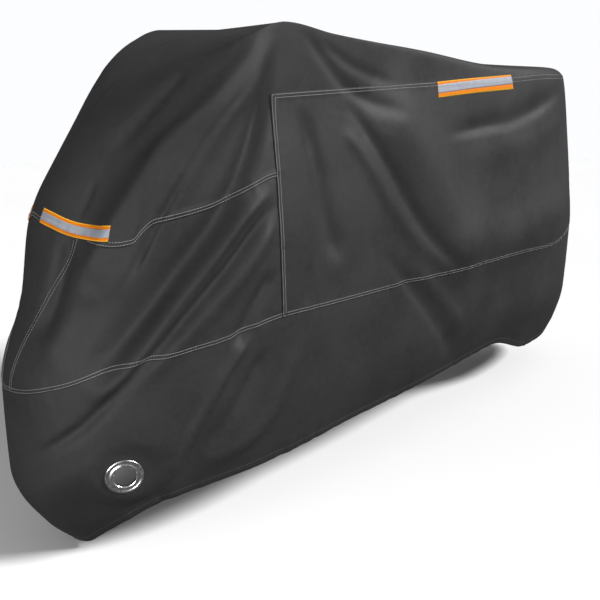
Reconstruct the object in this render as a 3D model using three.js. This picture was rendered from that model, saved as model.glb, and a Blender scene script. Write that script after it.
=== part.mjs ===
// A fitted cover draped over the length of a motorcycle: a hollow shell of cut and sewn
// cloth panels, open below. Lengths are in millimetres, front is -X, the cover's left
// side is -Y, and +Z is up, with Z = 0 at the lowest point of the hem.
import * as THREE from 'three';

const CLOTH = 2.0;            // thickness of the coated cloth with its seam allowance
const GAP = 0.3;              // least distance between two pieces
const SEAM_INSET = 0.25;      // each panel stops this far short of its seam line
const SIDES = ['left', 'right'];

// The surface is a net of ribs and levels. A rib's station runs from -1 at the centre of
// the nose, through 0 below the handlebar ends, to 1 at the centre of the tail. A level
// runs from 0 at the hem to 1 at the ridge.
const STATIONS = {
  nose: -1.0, beak: -0.87, cheek: -0.7, fairing: -0.44, knee: -0.2, bars: 0.0,
  dash: 0.1, tank: 0.33, seat: 0.60, hip: 0.75, tail: 1.0,
};

// frontX, barX, rearX: where the level crosses the nose, the bar rib and the tail.
// barHalf, tailHalf: half widths. fullness: over 1 draws the nose in to a slimmer curve.
// heights: one for each station above.
const LEVELS = [
  { name: 'hem', at: 0.00, frontX: -930, fullness: 1.0,
    barX: -535, barHalf: 250, tailHalf: 130, rearX: 965,
    heights: [0, 12, 62, 132, 156, 164, 168, 178, 194, 118, 94] },
  { name: 'curl', at: 0.06, frontX: -985, fullness: 1.0,
    barX: -535, barHalf: 263, tailHalf: 140, rearX: 1010,
    heights: [67, 80, 127, 192, 215, 222, 227, 240, 247, 184, 158] },
  { name: 'low', at: 0.15, frontX: -1043, fullness: 1.0,
    barX: -535, barHalf: 276, tailHalf: 150, rearX: 1040,
    heights: [197, 207, 242, 297, 322, 332, 336, 346, 342, 292, 262] },
  { name: 'skirtSeam', at: 0.30, frontX: -1040, fullness: 1.08,
    barX: -535, barHalf: 282, tailHalf: 145, rearX: 1045,
    heights: [402, 406, 424, 472, 492, 517, 515, 509, 492, 472, 532] },
  { name: 'mid', at: 0.42, frontX: -982, fullness: 1.2,
    barX: -535, barHalf: 277, tailHalf: 140, rearX: 1017,
    heights: [577, 578, 584, 612, 637, 662, 662, 662, 652, 642, 662] },
  { name: 'hoodSeam', at: 0.54, frontX: -945, fullness: 1.1,
    barX: -532, barHalf: 262, tailHalf: 132, rearX: 980,
    heights: [750, 736, 717, 742, 772, 817, 820, 822, 817, 812, 812] },
  { name: 'shoulder', at: 0.70, frontX: -862, fullness: 1.3,
    barX: -525, barHalf: 240, tailHalf: 102, rearX: 935,
    heights: [877, 880, 887, 927, 962, 982, 987, 997, 1006, 1014, 1007] },
  { name: 'crown', at: 0.84, frontX: -765, fullness: 1.6,
    barX: -484, barHalf: 237, tailHalf: 60, rearX: 910,
    heights: [987, 994, 1008, 1052, 1094, 1121, 1101, 1068, 1035, 1035, 1024] },
  { name: 'ridge', at: 1.00, frontX: -620, fullness: 1.0,
    barX: -470, barHalf: 0, tailHalf: 0, rearX: 900,
    heights: [1080, 1082, 1086, 1099, 1109, 1114, 1104, 1087, 1049, 1039, 1028] },
];

// The hood's lower edge is dragged down where the deepest fold crosses it.
const HOOD_DIP = { depth: 30, start: -0.75, deepest: -0.52, release: -0.50, end: -0.42 };

const TAIL_ROUNDING = 10;     // the higher, the blunter the tail's end, seen from above
const TAIL_CROWDING = 6;      // the higher, the later the ribs draw together at the tail

// The gusset is a wedge on the nose: half widths given as stations along its seam.
const GUSSET_SEAM = { hem: -0.80, low: -0.80, skirtSeam: -0.955, hoodSeam: -0.735, ridge: -0.72 };

// Each fold is a soft ridge (depth over 0) or trough (under 0) along a bent line from one
// place on the net to another, given as [station, level], with its width at both ends.
const FOLDS = [
  { side: 'left', from: [-0.02, 0.82], via: [-0.27, 0.70], to: [-0.58, 0.56], widths: [16, 34], depth: 13 },
  { side: 'left', from: [-0.01, 0.79], via: [-0.34, 0.60], to: [-0.57, 0.39], widths: [14, 30], depth: -13 },
  { side: 'left', from: [-0.08, 0.66], via: [-0.30, 0.54], to: [-0.52, 0.40], widths: [20, 30], depth: 8 },
  { side: 'left', from: [-0.12, 0.57], via: [-0.29, 0.48], to: [-0.47, 0.38], widths: [26, 34], depth: -10 },
  { side: 'left', from: [-0.02, 0.54], via: [-0.19, 0.46], to: [-0.38, 0.35], widths: [20, 28], depth: 9 },
  { side: 'left', from: [0.00, 0.51], via: [-0.17, 0.43], to: [-0.36, 0.32], widths: [18, 26], depth: -10 },
  { side: 'left', from: [-0.26, 0.41], via: [-0.48, 0.29], to: [-0.70, 0.24], widths: [24, 30], depth: 8 },
  { side: 'left', from: [-0.24, 0.39], via: [-0.48, 0.25], to: [-0.72, 0.20], widths: [22, 28], depth: -10 },
  { side: 'left', from: [-0.13, 0.28], via: [-0.24, 0.17], to: [-0.37, 0.06], widths: [22, 28], depth: 8 },
  { side: 'left', from: [-0.62, 0.47], via: [-0.69, 0.40], to: [-0.76, 0.33], widths: [30, 34], depth: 7 },
  { side: 'left', from: [0.02, 0.80], via: [0.10, 0.75], to: [0.17, 0.70], widths: [14, 26], depth: -8 },
  { side: 'left', from: [0.06, 0.64], via: [0.09, 0.51], to: [0.11, 0.39], widths: [22, 32], depth: -10 },
  { side: 'left', from: [0.11, 0.68], via: [0.17, 0.52], to: [0.30, 0.34], widths: [24, 34], depth: 8 },
  { side: 'left', from: [0.15, 0.69], via: [0.21, 0.52], to: [0.35, 0.33], widths: [22, 34], depth: -11 },
  { side: 'left', from: [0.42, 0.58], via: [0.60, 0.59], to: [0.84, 0.64], widths: [26, 26], depth: -14 },
  { side: 'left', from: [0.44, 0.53], via: [0.62, 0.54], to: [0.86, 0.59], widths: [34, 34], depth: 7 },
  { side: 'left', from: [0.52, 0.42], via: [0.58, 0.41], to: [0.66, 0.42], widths: [80, 80], depth: 9 },
  { side: 'left', from: [0.25, 0.26], via: [0.31, 0.16], to: [0.42, 0.06], widths: [28, 34], depth: -10 },
  { side: 'right', from: [-0.02, 0.82], via: [-0.30, 0.69], to: [-0.66, 0.55], widths: [16, 34], depth: 11 },
  { side: 'right', from: [-0.01, 0.78], via: [-0.31, 0.60], to: [-0.50, 0.42], widths: [14, 30], depth: -12 },
  { side: 'right', from: [-0.05, 0.64], via: [-0.23, 0.50], to: [-0.40, 0.36], widths: [22, 32], depth: 9 },
  { side: 'right', from: [0.00, 0.55], via: [-0.14, 0.44], to: [-0.31, 0.33], widths: [22, 30], depth: -10 },
  { side: 'right', from: [-0.22, 0.37], via: [-0.42, 0.28], to: [-0.68, 0.22], widths: [24, 30], depth: -9 },
  { side: 'right', from: [-0.10, 0.27], via: [-0.18, 0.16], to: [-0.30, 0.05], widths: [24, 30], depth: 8 },
  { side: 'right', from: [0.03, 0.80], via: [0.13, 0.74], to: [0.24, 0.69], widths: [14, 28], depth: -8 },
  { side: 'right', from: [0.05, 0.66], via: [0.12, 0.52], to: [0.22, 0.38], widths: [24, 34], depth: -11 },
  { side: 'right', from: [0.09, 0.60], via: [0.19, 0.48], to: [0.34, 0.36], widths: [26, 36], depth: 8 },
  { side: 'right', from: [0.48, 0.60], via: [0.64, 0.58], to: [0.88, 0.62], widths: [26, 26], depth: -12 },
  { side: 'right', from: [0.46, 0.44], via: [0.55, 0.42], to: [0.64, 0.43], widths: [80, 80], depth: 8 },
  { side: 'right', from: [0.30, 0.25], via: [0.38, 0.15], to: [0.46, 0.05], widths: [28, 34], depth: -9 },
];
const FOLD_STEPS = 14;        // straight stretches along one fold
const FOLD_END = 0.22;        // share of its length over which a fold fades out

// One steel eyelet low on each side of the nose, clamped over the skirt's cloth.
const EYELET = { station: -0.515, level: 0.10, barrelRadius: 24, segments: 32 };
const EYELET_FLAT = 46;       // the cloth is flat to this radius around it
const EYELET_FADE = [55, 110]; // folds fade out between these radii

// Its section, turned about its axis. Heights are above the skirt's outer face: the washer
// at the back, the barrel through the cloth, then the flange with its two rolled rings.
const EYELET_SECTION = [
  { part: 'washer', radius: 22.0, height: -3.4 },
  { part: 'washer', radius: 23.2, height: -4.5 },
  { part: 'washer', radius: 35.8, height: -4.5 },
  { part: 'washer', radius: 37.0, height: -3.4 },
  { part: 'washer', radius: 36.4, height: -CLOTH - GAP },
  { part: 'barrel', radius: EYELET.barrelRadius, height: -CLOTH - GAP },
  { part: 'barrel', radius: EYELET.barrelRadius, height: GAP },
  { part: 'flange', radius: 40.2, height: GAP },
  { part: 'flange', radius: 41.0, height: 1.6 },
  { part: 'flange', radius: 39.0, height: 3.3 },
  { part: 'flange', radius: 36.0, height: 2.3 },
  { part: 'flange', radius: 30.5, height: 2.3 },
  { part: 'flange', radius: 27.0, height: 4.2 },
  { part: 'flange', radius: 24.2, height: 4.2 },
  { part: 'flange', radius: 22.0, height: 1.9 },
];

// Reflective trims: a tape sewn on the cloth and a narrower silver band bonded to it.
const TAPE = { lift: 0.9, thickness: 0.8 };
const BAND = { thickness: 0.5, share: 0.56 };  // share of the tape's width
const TRIMS = [
  { name: 'front', from: [-0.925, 0.553], via: [-0.732, 0.553], to: [-0.584, 0.562], width: 30, columns: 9 },
  { name: 'rear', from: [0.373, 0.677], via: [0.495, 0.683], to: [0.616, 0.688], width: 39, columns: 10 },
];

const SLOPE_STEP = 0.004;     // step along the net for the slope of the smooth face
const WIDTH_STEP = 0.02;      // step across a trim that tells how far apart levels lie
const SAME_TURN = 1e-6;       // turns closer than this count as the same

// How finely the net is cut: columns between the seams, then the levels of its rows.
const COLUMNS = { gusset: 4, frontPanel: 20, rearPanel: 26 };
const ROWS = {
  skirt: [0, 0.04, 0.08, 0.12, 0.16, 0.21, 0.255, 0.30],
  panel: [0.34, 0.38, 0.42, 0.46, 0.50, 0.54],
  shoulder: [0.58, 0.62, 0.66, 0.70],
  top: [0.745, 0.785, 0.82, 0.85, 0.895, 0.945, 1.0],
};
const EYELET_CELLS = { columns: [5, 9], rows: [1, 4] };  // counted from the gusset's seam

const MATERIALS = {
  cloth: { color: 0x2f2f31, roughness: 0.62, metalness: 0.0 },
  steel: { color: 0xb9bbbd, roughness: 0.25, metalness: 1.0 },
  tape: { color: 0xf08a12, roughness: 0.55, metalness: 0.0 },
  band: { color: 0xa9adb8, roughness: 0.40, metalness: 0.2 },
};

const lerp = (a, b, t) => a + (b - a) * t;
const clamp = (x, low, high) => Math.min(high, Math.max(low, x));

function smoothstep(a, b, x) {
  const t = clamp((x - a) / (b - a), 0, 1);
  return t * t * (3 - 2 * t);
}

// Slopes of a cubic through the points that never overshoots them.
function monotoneSlopes(xs, ys) {
  const steps = xs.slice(1).map((x, k) => x - xs[k]);
  const rises = steps.map((h, k) => (ys[k + 1] - ys[k]) / h);
  const slopes = [rises[0]];
  for (let k = 1; k < steps.length; k += 1) {
    const before = 2 * steps[k] + steps[k - 1];
    const after = steps[k] + 2 * steps[k - 1];
    const agrees = rises[k - 1] * rises[k] > 0;
    slopes.push(agrees ? (before + after) / (before / rises[k - 1] + after / rises[k]) : 0);
  }
  slopes.push(rises[rises.length - 1]);
  return slopes;
}

function monotoneCurve(xs, ys, x) {
  const slopes = monotoneSlopes(xs, ys);
  let k = 0;
  while (k < xs.length - 2 && x >= xs[k + 1]) k += 1;
  const h = xs[k + 1] - xs[k];
  const t = (x - xs[k]) / h;
  return (1 + 2 * t) * (1 - t) ** 2 * ys[k] + t * (1 - t) ** 2 * h * slopes[k]
    + t * t * (3 - 2 * t) * ys[k + 1] + t * t * (t - 1) * h * slopes[k + 1];
}

const STATION_VALUES = Object.values(STATIONS);
const LEVEL_VALUES = LEVELS.map((level) => level.at);
const levelOf = (name) => LEVELS.find((level) => level.name === name).at;

// A point of one level on the left side, as [x, y, z].
function levelPoint(level, station) {
  const z = monotoneCurve(STATION_VALUES, level.heights, station);
  if (station < 0) {
    const turn = (1 + station) * Math.PI / 2;
    const x = level.barX - (level.barX - level.frontX) * Math.cos(turn);
    const half = level.barHalf * Math.sin(turn) ** level.fullness;
    if (level.name !== 'hoodSeam') return [x, -half, z];
    const dip = smoothstep(HOOD_DIP.start, HOOD_DIP.deepest, station)
      * (1 - smoothstep(HOOD_DIP.release, HOOD_DIP.end, station));
    return [x, -half, z - HOOD_DIP.depth * dip];
  }
  const along = station + station ** TAIL_CROWDING * (1 - station);
  const half = (level.barHalf - (level.barHalf - level.tailHalf) * along ** 2)
    * Math.sqrt(Math.max(0, 1 - along ** TAIL_ROUNDING));
  return [lerp(level.barX, level.rearX, along), -half, z];
}

// The cover's smooth outer face, before its folds.
function smoothPoint(side, station, level) {
  const s = clamp(station, -1, 1);
  const points = LEVELS.map((row) => levelPoint(row, s));
  const [x, y, z] = [0, 1, 2].map((axis) => (
    monotoneCurve(LEVEL_VALUES, points.map((point) => point[axis]), clamp(level, 0, 1))));
  return new THREE.Vector3(x, side === 'left' ? y : -y, z);
}

function smoothNormal(side, station, level) {
  const s = clamp(station, -1 + SLOPE_STEP, 1 - SLOPE_STEP);
  const v = clamp(level, SLOPE_STEP, 1 - SLOPE_STEP);
  const along = smoothPoint(side, s + SLOPE_STEP, v).sub(smoothPoint(side, s - SLOPE_STEP, v));
  const up = smoothPoint(side, s, v + SLOPE_STEP).sub(smoothPoint(side, s, v - SLOPE_STEP));
  const normal = side === 'left' ? along.cross(up) : up.cross(along);
  if (station <= -1 || station >= 1 || level >= 1) normal.y = 0;
  return normal.normalize();
}

const bendAt = (from, via, to, t) => [0, 1].map((k) => (
  (1 - t) ** 2 * from[k] + 2 * t * (1 - t) * (2 * via[k] - (from[k] + to[k]) / 2) + t * t * to[k]));

const foldPaths = FOLDS.map((fold) => (
  Array.from({ length: FOLD_STEPS + 1 }, (_, k) => (
    smoothPoint(fold.side, ...bendAt(fold.from, fold.via, fold.to, k / FOLD_STEPS))))));

const eyeletFrames = Object.fromEntries(SIDES.map((side) => {
  const centre = smoothPoint(side, EYELET.station, EYELET.level);
  const normal = smoothNormal(side, EYELET.station, EYELET.level);
  const across = new THREE.Vector3(0, 0, 1).cross(normal).normalize();
  const up = normal.clone().cross(across);
  return [side, { centre, normal, across, up }];
}));

// How far the folds push a point of the smooth face out along its normal.
function foldHeight(side, point) {
  const segment = new THREE.Line3();
  const nearest = new THREE.Vector3();
  let height = 0;
  FOLDS.forEach((fold, row) => {
    if (fold.side !== side) return;
    const path = foldPaths[row];
    let best = Infinity;
    let place = 0;
    for (let k = 0; k < FOLD_STEPS; k += 1) {
      segment.set(path[k], path[k + 1]);
      const t = segment.closestPointToPointParameter(point, true);
      const distance = segment.at(t, nearest).distanceTo(point);
      if (distance < best) {
        best = distance;
        place = (k + t) / FOLD_STEPS;
      }
    }
    const width = lerp(fold.widths[0], fold.widths[1], place);
    const fade = smoothstep(0, FOLD_END, place) * smoothstep(0, FOLD_END, 1 - place);
    height += fold.depth * fade * Math.exp(-((best / width) ** 2));
  });
  const fromEyelet = point.distanceTo(eyeletFrames[side].centre);
  return height * smoothstep(EYELET_FADE[0], EYELET_FADE[1], fromEyelet);
}

// The outer face with its folds, and the cloth's normal there.
function clothAt(side, station, level) {
  const point = smoothPoint(side, station, level);
  const normal = smoothNormal(side, station, level);
  const onCentre = station <= -1 || station >= 1 || level >= 1;
  const height = onCentre
    ? (foldHeight('left', point) + foldHeight('right', point)) / 2
    : foldHeight(side, point);
  return { outer: point.addScaledVector(normal, height), normal };
}

// Station of the gusset's seam at a level.
function gussetSeam(level) {
  return monotoneCurve(Object.keys(GUSSET_SEAM).map(levelOf), Object.values(GUSSET_SEAM), level);
}

const rowLevels = Object.values(ROWS).flat();
const rowOf = (name) => rowLevels.indexOf(levelOf(name));
const columnSeams = [0, COLUMNS.gusset, COLUMNS.gusset + COLUMNS.frontPanel,
  COLUMNS.gusset + COLUMNS.frontPanel + COLUMNS.rearPanel];
const [noseColumn, gussetColumn, barColumn, tailColumn] = columnSeams;
const [hemRow, skirtRow, hoodRow] = ['hem', 'skirtSeam', 'hoodSeam'].map(rowOf);
const [shoulderRow, ridgeRow] = ['shoulder', 'ridge'].map(rowOf);

function columnStation(column, level) {
  const seam = gussetSeam(level);
  if (column <= gussetColumn) return lerp(-1, seam, column / COLUMNS.gusset);
  if (column <= barColumn) return lerp(seam, 0, (column - gussetColumn) / COLUMNS.frontPanel);
  return (column - barColumn) / COLUMNS.rearPanel;
}

// The net's points, shared by the panels that meet there.
const net = new Map();
const isCentre = (column, row) => column === noseColumn || column === tailColumn || row === ridgeRow;

function netKey(side, column, row) {
  return `${isCentre(column, row) ? 'centre' : side}/${column}/${row}`;
}

for (const side of SIDES) {
  for (let column = 0; column <= tailColumn; column += 1) {
    for (let row = 0; row <= ridgeRow; row += 1) {
      const key = netKey(side, column, row);
      if (!net.has(key)) {
        net.set(key, clothAt(side, columnStation(column, rowLevels[row]), rowLevels[row]));
      }
    }
  }
}

// Collects points and faces of one closed solid.
class SolidBuilder {
  constructor() {
    this.positions = [];
    this.indices = [];
  }

  point(vector) {
    this.positions.push(vector.x, vector.y, vector.z);
    return this.positions.length / 3 - 1;
  }

  triangle(a, b, c) {
    this.indices.push(a, b, c);
  }

  at(index) {
    return new THREE.Vector3().fromArray(this.positions, index * 3);
  }

  // The four corners go round the face, seen from outside; the shorter diagonal is cut.
  quad(a, b, c, d) {
    const first = this.at(a).distanceTo(this.at(c));
    const second = this.at(b).distanceTo(this.at(d));
    if (first <= second) {
      this.triangle(a, b, c);
      this.triangle(a, c, d);
    } else {
      this.triangle(a, b, d);
      this.triangle(b, c, d);
    }
  }

  geometry() {
    const geometry = new THREE.BufferGeometry();
    geometry.setAttribute('position', new THREE.Float32BufferAttribute(this.positions, 3));
    geometry.setIndex(this.indices);
    geometry.computeVertexNormals();
    return geometry;
  }
}

// One cut panel: the cells of the net between its seams, as a thin closed solid.
// areas: [side, first column, last column, first row, last row].
function panelCells(areas) {
  const cells = new Map();
  for (const [side, firstColumn, lastColumn, firstRow, lastRow] of areas) {
    for (let column = firstColumn; column < lastColumn; column += 1) {
      for (let row = firstRow; row < lastRow; row += 1) {
        const corners = [[column, row], [column + 1, row], [column + 1, row + 1], [column, row + 1]];
        const keys = corners.map(([c, r]) => netKey(side, c, r));
        if (side === 'right') keys.reverse();
        cells.set(`${side}/${column}/${row}`, keys);
      }
    }
  }
  return cells;
}

function panelSolid(areas, eyeletSides = []) {
  const cells = panelCells(areas);
  const solid = new SolidBuilder();

  // an edge that only one cell uses lies on a seam, or on the hem
  const edges = new Map();
  const towards = new Map();
  for (const keys of cells.values()) {
    const middle = new THREE.Vector3();
    keys.forEach((key) => middle.addScaledVector(net.get(key).outer, 1 / keys.length));
    keys.forEach((key, k) => {
      const next = keys[(k + 1) % keys.length];
      if (edges.has(`${next}|${key}`)) edges.delete(`${next}|${key}`);
      else edges.set(`${key}|${next}`, [key, next]);
      if (!towards.has(key)) towards.set(key, new THREE.Vector3());
      towards.get(key).add(middle.clone().sub(net.get(key).outer).normalize());
    });
  }
  const onEdge = new Set([...edges.values()].flat());

  const outer = new Map();
  const inner = new Map();
  for (const key of towards.keys()) {
    const { outer: place, normal } = net.get(key);
    const spot = place.clone();
    if (onEdge.has(key)) spot.addScaledVector(towards.get(key).normalize(), SEAM_INSET);
    outer.set(key, solid.point(spot));
    inner.set(key, solid.point(spot.clone().addScaledVector(normal, -CLOTH)));
  }

  const eyeletCells = new Set();
  for (const side of eyeletSides) {
    for (let column = EYELET_CELLS.columns[0]; column < EYELET_CELLS.columns[1]; column += 1) {
      for (let row = EYELET_CELLS.rows[0]; row < EYELET_CELLS.rows[1]; row += 1) {
        eyeletCells.add(`${side}/${gussetColumn + column}/${row}`);
      }
    }
  }

  for (const [cell, keys] of cells) {
    if (eyeletCells.has(cell)) continue;
    solid.quad(...keys.map((key) => outer.get(key)));
    solid.quad(...keys.map((key) => inner.get(key)).reverse());
  }
  for (const [key, next] of edges.values()) {
    solid.quad(outer.get(next), outer.get(key), inner.get(key), inner.get(next));
  }
  for (const side of eyeletSides) eyeletHole(solid, side, outer, inner);
  return solid.geometry();
}

// The loop of net points around the cells that an eyelet takes, anticlockwise from outside.
function eyeletLoop(side) {
  const [firstColumn, lastColumn] = EYELET_CELLS.columns.map((column) => gussetColumn + column);
  const [firstRow, lastRow] = EYELET_CELLS.rows;
  const loop = [];
  for (let column = firstColumn; column < lastColumn; column += 1) loop.push([column, firstRow]);
  for (let row = firstRow; row < lastRow; row += 1) loop.push([lastColumn, row]);
  for (let column = lastColumn; column > firstColumn; column -= 1) loop.push([column, lastRow]);
  for (let row = lastRow; row > firstRow; row -= 1) loop.push([firstColumn, row]);
  if (side === 'right') loop.reverse();
  return loop.map(([column, row]) => netKey(side, column, row));
}

// Fills the cells around an eyelet with cloth that is flat at the flange and holed inside it.
function eyeletHole(solid, side, outer, inner) {
  const frame = eyeletFrames[side];
  const ring = (radius, depth) => Array.from({ length: EYELET.segments }, (_, k) => {
    const angle = 2 * Math.PI * k / EYELET.segments;
    return solid.point(frame.centre.clone()
      .addScaledVector(frame.across, radius * Math.cos(angle))
      .addScaledVector(frame.up, radius * Math.sin(angle))
      .addScaledVector(frame.normal, -depth));
  });
  const holeRadius = EYELET.barrelRadius + GAP;
  const outerHole = ring(holeRadius, 0);
  const innerHole = ring(holeRadius, CLOTH);
  const outerFlat = ring(EYELET_FLAT, 0);
  const innerFlat = ring(EYELET_FLAT, CLOTH);
  for (let k = 0; k < EYELET.segments; k += 1) {
    const next = (k + 1) % EYELET.segments;
    solid.quad(outerHole[next], outerHole[k], outerFlat[k], outerFlat[next]);
    solid.quad(innerHole[k], innerHole[next], innerFlat[next], innerFlat[k]);
    solid.quad(outerHole[k], outerHole[next], innerHole[next], innerHole[k]);
  }
  const loop = eyeletLoop(side);
  bridge(solid, outerFlat, loop.map((key) => outer.get(key)), frame, false);
  bridge(solid, innerFlat, loop.map((key) => inner.get(key)), frame, true);
}

// Joins a ring to a loop around it, both anticlockwise, turning by turning.
function bridge(solid, ring, loop, frame, flip) {
  const angleOf = (index) => {
    const offset = solid.at(index).sub(frame.centre);
    return Math.atan2(offset.dot(frame.up), offset.dot(frame.across));
  };
  const turnFrom = (start, index) => {
    const turn = angleOf(index) - start;
    return turn - 2 * Math.PI * Math.floor(turn / (2 * Math.PI) + SAME_TURN);
  };
  const start = angleOf(ring[0]);
  const first = loop.reduce((best, index, k) => (
    turnFrom(start, index) < turnFrom(start, loop[best]) ? k : best), 0);
  const turned = loop.map((_, k) => loop[(first + k) % loop.length]);
  const ringTurns = ring.map((index) => turnFrom(start, index)).concat(2 * Math.PI);
  const loopTurns = turned.map((index) => turnFrom(start, index));
  loopTurns.push(loopTurns[0] + 2 * Math.PI);
  const face = (a, b, c) => (flip ? solid.triangle(a, c, b) : solid.triangle(a, b, c));
  let i = 0;
  let j = 0;
  while (i < ring.length || j < turned.length) {
    const onRing = ring[i % ring.length];
    const onLoop = turned[j % turned.length];
    const stepRing = j >= turned.length
      || (i < ring.length && ringTurns[i + 1] <= loopTurns[j + 1]);
    if (stepRing) {
      face(onRing, onLoop, ring[(i + 1) % ring.length]);
      i += 1;
    } else {
      face(onRing, onLoop, turned[(j + 1) % turned.length]);
      j += 1;
    }
  }
}

// A rolled steel eyelet, its groove holding the cloth: a ring turned about its own axis.
function eyeletSolid(side) {
  const points = EYELET_SECTION.map(({ radius, height }) => new THREE.Vector2(radius, height));
  points.push(points[0].clone());
  const geometry = new THREE.LatheGeometry(points, EYELET.segments);
  const { centre, normal, across } = eyeletFrames[side];
  const third = across.clone().cross(normal);
  geometry.applyMatrix4(new THREE.Matrix4().makeBasis(across, normal, third).setPosition(centre));
  return geometry;
}

// A trim's strip of cloth lying on the cover: its faces keep a set height above it.
function trimSolid(side, trim, share, low, high) {
  const solid = new SolidBuilder();
  const columns = Array.from({ length: trim.columns + 1 }, (_, k) => {
    const [station, level] = bendAt(trim.from, trim.via, trim.to, k / trim.columns);
    const rise = clothAt(side, station, level + WIDTH_STEP).outer
      .distanceTo(clothAt(side, station, level - WIDTH_STEP).outer) / (2 * WIDTH_STEP);
    const halfLevel = trim.width * share / 2 / rise;
    return [-1, 0, 1].map((edge) => {
      const { outer, normal } = clothAt(side, station, level + edge * halfLevel);
      return [low, high].map((height) => (
        solid.point(outer.clone().addScaledVector(normal, height))));
    });
  });
  const turn = (corners) => solid.quad(...(side === 'left' ? corners : corners.reverse()));
  for (let k = 0; k < trim.columns; k += 1) {
    const [here, next] = [columns[k], columns[k + 1]];
    for (let edge = 0; edge < 2; edge += 1) {
      turn([here[edge][1], next[edge][1], next[edge + 1][1], here[edge + 1][1]]);
      turn([here[edge][0], here[edge + 1][0], next[edge + 1][0], next[edge][0]]);
    }
    turn([here[0][0], next[0][0], next[0][1], here[0][1]]);
    turn([here[2][1], next[2][1], next[2][0], here[2][0]]);
  }
  for (let edge = 0; edge < 2; edge += 1) {
    const [start, end] = [columns[0], columns[trim.columns]];
    turn([start[edge][0], start[edge][1], start[edge + 1][1], start[edge + 1][0]]);
    turn([end[edge][1], end[edge][0], end[edge + 1][0], end[edge + 1][1]]);
  }
  return solid.geometry();
}

const cover = new THREE.Group();
cover.name = 'motorcycle_cover';

function add(name, geometry, finish) {
  const mesh = new THREE.Mesh(geometry, new THREE.MeshStandardMaterial(MATERIALS[finish]));
  mesh.name = name;
  cover.add(mesh);
}

const bothSides = (...area) => SIDES.map((side) => [side, ...area]);

add('hood_and_top_panel', panelSolid([
  ...bothSides(noseColumn, barColumn, hoodRow, ridgeRow),
  ...bothSides(barColumn, tailColumn, shoulderRow, ridgeRow),
]), 'cloth');
add('front_gusset', panelSolid(bothSides(noseColumn, gussetColumn, skirtRow, hoodRow)), 'cloth');
add('lower_skirt', panelSolid(bothSides(noseColumn, tailColumn, hemRow, skirtRow), SIDES), 'cloth');

for (const side of SIDES) {
  add(`front_side_panel_${side}`, panelSolid([[side, gussetColumn, barColumn, skirtRow, hoodRow]]), 'cloth');
  add(`rear_side_panel_${side}`, panelSolid([[side, barColumn, tailColumn, skirtRow, shoulderRow]]), 'cloth');
  add(`eyelet_${side}`, eyeletSolid(side), 'steel');
  for (const trim of TRIMS) {
    const tapeTop = TAPE.lift + TAPE.thickness;
    const bandBase = tapeTop + GAP;
    add(`reflective_tape_${trim.name}_${side}`, trimSolid(side, trim, 1, TAPE.lift, tapeTop), 'tape');
    add(`reflective_band_${trim.name}_${side}`,
      trimSolid(side, trim, BAND.share, bandBase, bandBase + BAND.thickness), 'band');
  }
}

export default cover;
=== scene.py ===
from collections import namedtuple
from math import cos, pi, radians, sin, sqrt

import bmesh
import bpy
import numpy as np
from mathutils import Matrix, Vector
from mathutils.kdtree import KDTree


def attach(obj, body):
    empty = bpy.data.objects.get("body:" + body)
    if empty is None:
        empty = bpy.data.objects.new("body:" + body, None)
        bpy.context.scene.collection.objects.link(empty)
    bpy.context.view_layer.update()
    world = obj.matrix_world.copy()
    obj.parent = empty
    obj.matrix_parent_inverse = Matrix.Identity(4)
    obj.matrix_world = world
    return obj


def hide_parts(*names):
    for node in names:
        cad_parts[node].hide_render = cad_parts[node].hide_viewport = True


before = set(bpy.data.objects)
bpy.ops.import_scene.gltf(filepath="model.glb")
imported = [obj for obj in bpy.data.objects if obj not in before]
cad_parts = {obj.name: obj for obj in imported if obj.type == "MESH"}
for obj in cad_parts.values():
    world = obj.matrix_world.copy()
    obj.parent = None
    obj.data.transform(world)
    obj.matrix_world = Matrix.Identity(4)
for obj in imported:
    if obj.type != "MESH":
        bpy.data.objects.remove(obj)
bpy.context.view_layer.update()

MM = 0.001
LEFT, RIGHT = BOTH = (-1, 1)   # sign of Y on each side
SIDE_NAMES = {LEFT: "left", RIGHT: "right"}

CLOTH = 0.35 * MM             # thickness of one layer
LAYER = 0.45 * MM             # each layer lifts the next one by this much
LAP_WIDTH = 14 * MM           # of the doubled cloth along a panel's edge
LAP_END = 3 * MM              # of that, where it comes down to one layer
STITCH_ROWS = (2.4 * MM, 8.8 * MM)   # distances of the twin rows from the panel's edge

# The smooth face

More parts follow.
